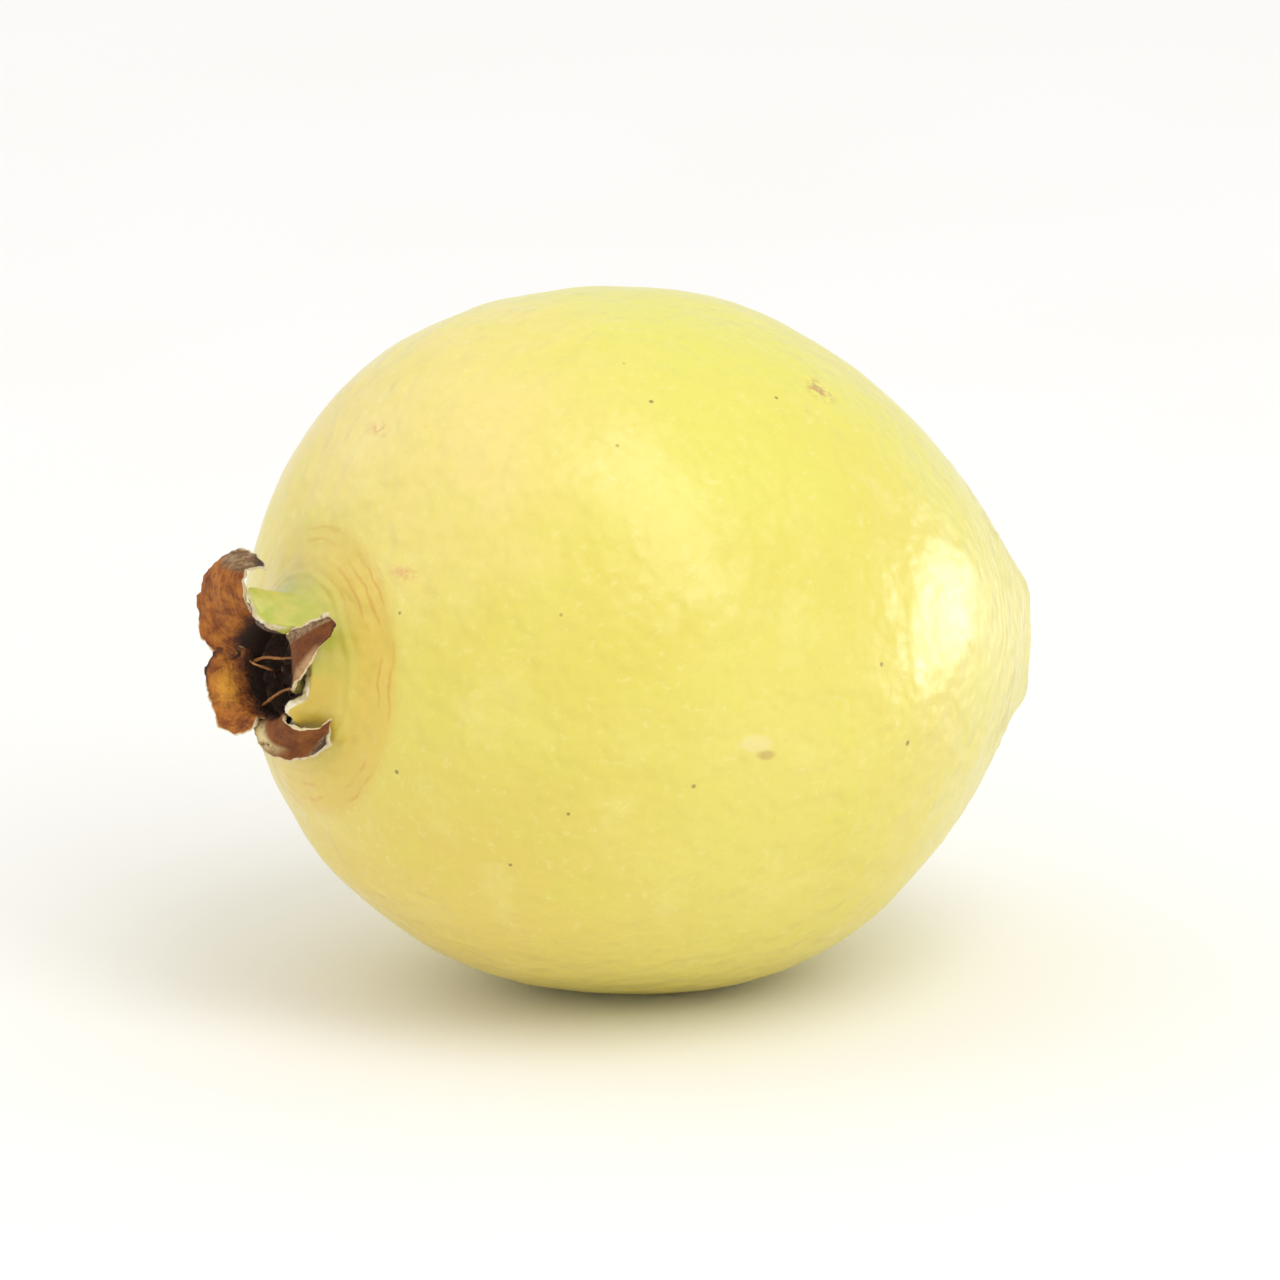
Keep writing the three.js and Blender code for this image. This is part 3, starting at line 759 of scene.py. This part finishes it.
# %% The neck and its rings
neck = along_fruit(tree, (0, -NECK_DROP, RIM))
neck_side, neck_up = parts_of(tree, neck)[:2]
from_neck = length_of(tree, add(tree, "CombineXYZ", {0: neck_side, 1: neck_up}))
calyx_half = between(tree, along, 18, 24)
neck_noise = noise(tree, where, 0.55, 3, 0.6)
near_neck = product(tree, between(tree, from_neck, 10.5, 6.0), calyx_half)
ragged_up = maths(tree, "ADD", neck_up, maths(tree, "MULTIPLY", neck_noise, 3.0))
green_side = between(tree, ragged_up, 1.0, 6.5)
colour = blend(tree, product(tree, near_neck, 0.85), colour, "CFAE40")
colour = blend(tree, product(tree, near_neck, green_side, 0.8), colour, "CCC75A")
greenest = product(tree, between(tree, from_neck, 9.0, 5.5), green_side,
                   between(tree, neck_noise, 0.3, 0.66), calyx_half)
colour = blend(tree, product(tree, greenest, 0.75), colour, "A9BA3C")
RING_RATE = 5.2  # radians of the wave in a millimetre, so a ring every 1.2 mm
waver = maths(tree, "MULTIPLY", noise(tree, where, 0.2, 3), 2.2)
ringed = maths(tree, "ADD", from_neck, waver)
rings = maths(tree, "SINE", maths(tree, "MULTIPLY", ringed, RING_RATE))
cracks = between(tree, rings, 0.35, 1.0)
broken = between(tree, noise(tree, where, 0.22, 2), 0.44, 0.6)
zone = product(tree, between(tree, from_neck, 8.0, 9.6), between(tree, from_neck, 13.8, 12.0),
               calyx_half)
facing_side = add(tree, "MapRange", {0: neck_side, 1: -6.0, 2: 9.0, 3: 0.3, 4: 1.0})
ring_mask = product(tree, cracks, broken, zone, facing_side)
colour = blend(tree, product(tree, zone, facing_side, 0.5), colour, "E2B43C")
colour = blend(tree, product(tree, ring_mask, 0.6), colour, "D99E36")

# %% [markdown]
# Small things make a skin real: a few dark specks, some short brown scratches, pinkish rubs on the
# shoulder, and the pale healed scratch. Each is a soft spot round one point. The rest of the fruit gets
# its specks from a sparse pattern of cells, of which only a few are let through.

# %% Specks, rubs and scratches
def spot(at, size, stretch=(1, 1, 1), soft=0.5):
    """A soft spot round a point on the fruit, size millimetres in radius."""
    mapped = add(tree, "Mapping", {"Vector": along_fruit(tree, at), "Scale": [1 / s for s in stretch]})
    return between(tree, length_of(tree, mapped), size, size * soft)


SPECKS = [(16.9, 25.8, 0.0), (15.9, 25.3, 12.0), (28.9, -2.2, -10.0), (24.9, -9.2, 21.0),
          (13.3, -8.2, 31.7), (-5.1, -15.1, 32.1), (20.1, -14.9, 23.3), (11.4, 5.5, 32.0)]
RUBS = [(-1.7, 18.7, 28.5), (10.3, 8.8, 31.5), (-9, 12, 29)]
for number, at in enumerate(SPECKS):
    colour = blend(tree, product(tree, spot(at, 0.22 + 0.05 * (number % 3)), 0.7), colour, "6A5424")
colour = blend(tree, product(tree, spot(SCRATCH, 2.0, (1, 0.5, 1)), 0.35), colour, "F3E3B4")
colour = blend(tree, product(tree, spot((30.4, -2.6, 5.4), 1.3, (1, 0.5, 1)), 0.6), colour, "C09A55")
scrape = spot((15.2, 26.2, -5.5), 2.2, (1, 1, 0.9), 0.2)
colour = blend(tree, product(tree, scrape, between(tree, grain, 0.45, 0.6)), colour, "C6A05A")
for at in RUBS:
    rub = product(tree, spot(at, 2.6, (1, 0.35, 1), 0.1), between(tree, grain, 0.42, 0.62))
    colour = blend(tree, product(tree, rub, 0.6), colour, "DC9C66")
cells = tree.nodes.new("ShaderNodeTexVoronoi")
tree.links.new(where, cells.inputs["Vector"])
cells.inputs["Scale"].default_value = 0.16
chosen = between(tree, add(tree, "SeparateColor", {0: cells.outputs["Color"]}), 0.72, 0.73)
sparse = product(tree, between(tree, cells.outputs["Distance"], 0.05, 0.03), chosen)
colour = blend(tree, product(tree, sparse, 0.7), colour, "8A7434")

# %% The torn rim, the cup's wall and the stem pit
rim_mask, wall_mask = kept_number(tree, "torn_rim"), kept_number(tree, "cup_wall")
colour = blend(tree, between(tree, rim_mask, 0.25, 0.7), colour,
               blend(tree, between(tree, neck_noise, 0.4, 0.62), "EFE6C4", "C9B27A"))
colour = blend(tree, wall_mask, colour, "4A2E1A")
from_axis = length_of(tree, add(tree, "CombineXYZ", {0: side, 1: up}))
stem_half = between(tree, along, -26, -31)
pit = product(tree, between(tree, from_axis, 11, 4), stem_half)
colour = blend(tree, product(tree, pit, 0.6), colour, "CBCB62")
ragged_axis = maths(tree, "ADD", from_axis, product(tree, grain, 1.2))
lip = product(tree, between(tree, ragged_axis, 4.6, 3.4), stem_half)
colour = blend(tree, product(tree, lip, 0.75), colour, "BFA869")
tree.links.new(colour, shader.inputs["Base Color"])

# %% Gloss and fine relief of the skin
rough = add(tree, "MapRange", {0: blotches, 1: 0.3, 2: 0.7, 3: 0.34, 4: 0.5})
tree.links.new(rough, shader.inputs["Roughness"])
pebbles = noise(tree, where, 0.42, 1)
under = lift(tree, shader, pebbles, 0.7, 0.7)
under = lift(tree, shader, grain, 0.12, 0.5, under)
stem_waver = maths(tree, "MULTIPLY", noise(tree, where, 0.25, 1), 3.0)
stem_ringed = maths(tree, "ADD", from_axis, stem_waver)
stem_rings = maths(tree, "SINE", maths(tree, "MULTIPLY", stem_ringed, RING_RATE))
lift(tree, shader, product(tree, stem_rings, between(tree, along, -20, -27)), 0.035, 1.0, under)
skin.data.materials.append(skin_finish)
print("skin finish has", len(tree.nodes), "nodes")

# %% [markdown]
# ## The finish of the dried sepals
# The inner face of a dried sepal is leather brown with fibres along it, lighter and darker ones, and
# dark again at its tip. Down in the cup it is painted nearly black, which is painted shade. The outer
# face keeps a little yellow-green at its root and greys further out. The torn edge shows the pale
# flesh.
# One recipe serves all four sepals. Each has a seed of its own, a lighter patch, a grey hem, and says
# how deep in the cup painted shade turns it dark; one also has painted shade along one side.

# %% Recipe for a sepal
def sepal_finish(name, seed, patch, hem, dark, tint, shade=-3):
    """One sepal's finish.

    patch: along, across, strength and colour; hem: where it greys, along and across; dark: how many
    millimetres from the root it turns dark; tint: how much deeper its brown is; shade: it is dim where
    across is less than this."""
    made, tree, shader = new_finish(name, Roughness=0.65, Specular_IOR_Level=0.3)
    where = along_fruit(tree, (seed, 0, 0))
    along, across, inner, edge, travelled = (
        kept_number(tree, name) for name in ("along", "across", "inner_face", "torn_edge", "travelled"))
    mottle, fine = noise(tree, where, 0.8, 4, 0.65), noise(tree, where, 4.5, 3, 0.6)

    def stretched(wide, long):
        """Room for a pattern, counted so often across the blade and so often along it."""
        return add(tree, "CombineXYZ", {0: product(tree, across, wide), 1: product(tree, along, long),
                                        2: float(seed)})

    fibres = noise(tree, stretched(9.0, 3.0), 1.6, 4, 0.6, 0.4)
    face = blend(tree, between(tree, mottle, 0.34, 0.66), "84441A", "BE742A")
    face = blend(tree, product(tree, between(tree, fibres, 0.5, 0.72), 0.5), face, "CB8A3E")
    face = blend(tree, product(tree, between(tree, fibres, 0.46, 0.3), 0.5), face, "60341D")
    face = blend(tree, tint, face, "5E3016")
    patch_along, patch_across, patch_strength, patch_colour = patch
    away_along, away_across = (
        maths(tree, "ABSOLUTE", maths(tree, "SUBTRACT", place, centre))
        for place, centre in ((along, patch_along), (across, patch_across)))
    patch_mask = product(tree, between(tree, away_along, 0.24, 0.03),
                         between(tree, away_across, 0.5, 0.08), between(tree, mottle, 0.25, 0.5),
                         patch_strength)
    face = blend(tree, patch_mask, face, patch_colour)
    # Painted shade along one side: darker brown where across is below `shade`.
    uneven = maths(tree, "MULTIPLY", mottle, 0.5)
    painted_side_shade = between(tree, maths(tree, "ADD", across, uneven), shade + 0.45, shade + 0.05)
    face = blend(tree, product(tree, painted_side_shade, 0.85), face, "452620")
    streaks = noise(tree, stretched(2.0, 9.0), 2.5, 4, 0.6)
    hemmed = blend(tree, between(tree, streaks, 0.38, 0.62), "A98D68", "74573C")
    leaning = maths(tree, "SUBTRACT", along, maths(tree, "MULTIPLY", across, 0.1))
    hem_mask = maths(tree, "MAXIMUM", between(tree, leaning, hem[0] - 0.03, hem[0] + 0.03),
                     between(tree, across, hem[1] - 0.08, hem[1] + 0.08))
    face = blend(tree, product(tree, hem_mask, 0.9), face, hemmed)
    # Painted shade: the sepal turns nearly black where it lies deep in the cup, up to `dark`
    # millimetres from its root.
    ragged = maths(tree, "MULTIPLY", maths(tree, "SUBTRACT", mottle, 0.5), 1.2)
    depth = maths(tree, "ADD", travelled, ragged)
    face = blend(tree, product(tree, between(tree, depth, dark + 1.1, dark + 0.1), 0.8), face, "3C1F1C")
    face = blend(tree, between(tree, depth, dark + 0.4, dark - 0.3), face, "33231A")
    back = blend(tree, between(tree, travelled, 3.2, 5.2), "B9AC58", "8E7452")
    back = blend(tree, product(tree, between(tree, streaks, 0.4, 0.62), 0.7), back, "5A4632")
    back = blend(tree, product(tree, between(tree, fine, 0.5, 0.7), 0.4), back, "B8A888")
    face = blend(tree, between(tree, inner, 0.4, 0.6), back, face)
    ragged_end = maths(tree, "ADD", leaning, maths(tree, "MULTIPLY", mottle, 0.12))
    dark_tip = between(tree, ragged_end, 1.03, 1.11)
    face = blend(tree, product(tree, dark_tip, 0.85), face, "33211A")
    rim_line = maths(tree, "MAXIMUM", edge, between(tree, maths(tree, "ABSOLUTE", across), 0.9, 0.97))
    pale = product(tree, between(tree, rim_line, 0.6, 0.95), between(tree, travelled, 3.0, 3.8),
                   between(tree, mottle, 0.24, 0.4))
    face = blend(tree, product(tree, pale, 0.85), face, "E6D6AC")
    tree.links.new(face, shader.inputs["Base Color"])
    under = lift(tree, shader, fibres, 0.16, 0.6)
    lift(tree, shader, fine, 0.1, 0.6, under)
    return made


NOWHERE = 2.0  # past the end or the margin, so there is no hem there
# dark says how far painted shade reaches up from the root; shade, where it is given, says where painted
# shade dims one side.
LOOKS = {
    "sepal_near": dict(patch=(0.62, -0.8, 0.85, "CBA272"), hem=(NOWHERE, 0.5), dark=2.8, tint=0.75),
    "sepal_upper": dict(patch=(0.5, -0.1, 0.3, "BC7A3C"), hem=(0.84, NOWHERE), dark=3.5, tint=0.02),
    "sepal_far": dict(patch=(0.76, -0.12, 0.95, "E8A23A"), hem=(NOWHERE, NOWHERE), dark=2.4, tint=0.02,
                      shade=-0.75),
    "sepal_lower": dict(patch=(0.52, -0.6, 0.95, "EBD79C"), hem=(0.97, NOWHERE), dark=2.2, tint=0.6),
}
for sepal in sepals:
    finish = sepal_finish(sepal.name + "_leather", SEPALS[sepal.name]["seed"], **LOOKS[sepal.name])
    sepal.data.materials.append(finish)

# %% [markdown]
# ## The cup, the threads and the cork
# The cup is nearly black, with a brown dust in it. The threads are a shade of straw that has gone
# orange-brown. The cork of the scar is grey-brown and dry, cracked in rings, and lighter where it is
# rubbed.

# %% Dark cup and withered flower
def dried(name, dark, light, scale, roughness=0.8, relief=0.1):
    made, tree, shader = new_finish(name, Roughness=roughness)
    where = along_fruit(tree)
    coarse, fine = noise(tree, where, scale, 4, 0.65), noise(tree, where, scale * 4, 3, 0.6)
    colour = blend(tree, between(tree, coarse, 0.42, 0.72), dark, light)
    colour = blend(tree, product(tree, between(tree, fine, 0.6, 0.75), 0.35), colour, light)
    tree.links.new(colour, shader.inputs["Base Color"])
    lift(tree, shader, fine, relief, 0.6)
    return made, tree, shader, where, colour


cup.data.materials.append(dried("dark_cup_lining", "3D2C20", "5E3F2A", 1.2)[0])
disc.data.materials.append(dried("withered_disc", "38271C", "5E3D26", 1.4)[0])
threads, tree, shader, where, colour = dried("withered_thread", "8A5528", "C98A45", 1.0, 0.65)
# Painted shade: the threads are darkened where they lie deep in the cup.
painted_shade_deep = between(tree, parts_of(tree, where)[2], RIM - 0.9, RIM - 1.7)
tree.links.new(blend(tree, product(tree, painted_shade_deep, 0.85), colour, "33211A"), shader.inputs["Base Color"])
thread.data.materials.append(threads)

# %% Cork
cork, tree, shader, where, colour = dried("corky_scar", "5C4A35", "9C8762", 1.1, 0.85, 0.15)
from_axis = length_of(tree, add(tree, "VectorMath", {0: where, 1: (1, 1, 0)}, operation="MULTIPLY"))
wavering = maths(tree, "ADD", from_axis, noise(tree, where, 0.8))
rings = maths(tree, "SINE", maths(tree, "MULTIPLY", wavering, 9.0))
colour = blend(tree, product(tree, between(tree, rings, 0.5, 0.95), 0.6), colour, "33271B")
colour = blend(tree, between(tree, from_axis, 0.75, 0.45), colour, "2A1E15")
colour = blend(tree, product(tree, between(tree, from_axis, 1.75, 2.1), 0.6), colour, "CDBB8A")
tree.links.new(colour, shader.inputs["Base Color"])
scar.data.materials.append(cork)

# %% [markdown]
# ## Riding on the solid model
# The guava has no joints, so every piece rides on its one body. The solid that each piece stands for
# is hidden in its place.

# %% Tie the pieces to the frame
RIDES = [(skin, "fruit", "fruit"), (cup, "calyx", "calyx"), (disc, "stamens", "stamens"),
         (thread, "stamens", "stamens"), (scar, "stem_scar", "stem_scar")]
RIDES += [(sepal, "calyx", "calyx") for sepal in sepals]
for piece, node, slot in RIDES:
    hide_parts(node)
    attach(piece, "root")
print("pieces:", [piece.name for piece, _, _ in RIDES])

# %% [markdown]
# ## The studio
# A pale table and a bright, even surround keep everything light, as on a product shot. A tall soft box
# high to the right makes the broad gloss on the fruit's cheek, and a small one low down, close to the
# stem end, makes the bright patch there. That one only adds gloss, as it stands so near that it would
# burn out the skin. A third one, behind on the left, lifts the calyx shoulder. The lights are hidden
# from the camera itself.

# %% Table
bpy.ops.object.select_all(action="DESELECT")
bpy.ops.mesh.primitive_plane_add(size=6.0)
table = bpy.context.active_object
table.name = "studio_table"
table_finish, tree, shader = new_finish("matte_white_table", Roughness=0.9)
table_noise = noise(tree, add(tree, "TexCoord", output=3), 30.0, 0)
tree.links.new(blend(tree, table_noise, paint("F6F5F2"), paint("F8F7F5")), shader.inputs["Base Color"])
table.data.materials.append(table_finish)

# %% Surround and lights
def direction(azimuth, elevation):
    """A direction from the fruit, in degrees; azimuth 0 is the side of -Y and grows towards +X."""
    a, e = math.radians(azimuth), math.radians(elevation)
    return Vector((math.sin(a) * math.cos(e), -math.cos(a) * math.cos(e), math.sin(e)))


def soft_box(name, azimuth, elevation, distance, width, height, power, gloss_only=False):
    """An area light aimed at the fruit, in metres and watts."""
    back = direction(azimuth, elevation)
    bpy.ops.object.light_add(type="AREA", location=FRUIT_MIDDLE + back * distance)
    light = bpy.context.active_object
    light.name = name
    light.rotation_euler = back.to_track_quat("Z", "Y").to_euler()
    light.data.shape, light.data.size, light.data.size_y = "RECTANGLE", width, height
    light.data.energy = power
    light.visible_camera, light.visible_diffuse = False, not gloss_only


CAMERA_AZIMUTH, CAMERA_ELEVATION = -30, 16
world = bpy.data.worlds.new("bright_surround")
bpy.context.scene.world = world
world.use_nodes = True
surround = world.node_tree.nodes["Background"].inputs
surround["Color"].default_value = (1.0, 1.0, 1.0, 1.0)
surround["Strength"].default_value = 0.85
soft_box("key_box", CAMERA_AZIMUTH + 40, 54, distance=0.9, width=0.42, height=0.8, power=2.8)
soft_box("side_strip", CAMERA_AZIMUTH + 110, -1.5, distance=0.2, width=0.1, height=0.066, power=0.115,
         gloss_only=True)
soft_box("shoulder_box", CAMERA_AZIMUTH - 105, 40, distance=0.9, width=0.9, height=0.9, power=0.8)
bpy.context.scene.view_settings.view_transform = "Standard"

# %% [markdown]
# ## The camera
# The camera looks a little down on the fruit and from its calyx side, so the axis of the fruit seems
# level and the torn mouth shows. A very long lens from two and a half metres keeps the outline as round
# as it is.

# %% Camera
CAMERA_DISTANCE = 2.5
FRAME_WIDTH = 0.112  # metres seen across the picture, at the fruit
back = direction(CAMERA_AZIMUTH, CAMERA_ELEVATION)
target = fruit_point(0, 0, 0.5)
bpy.ops.object.camera_add(location=target + back * CAMERA_DISTANCE,
                          rotation=back.to_track_quat("Z", "Y").to_euler())
camera = bpy.context.active_object
camera.data.sensor_width = 36
camera.data.lens = 36 * CAMERA_DISTANCE / FRAME_WIDTH
camera.data.clip_start, camera.data.clip_end = 0.01, 20
bpy.context.scene.camera = camera
print("lens", round(camera.data.lens), "mm")
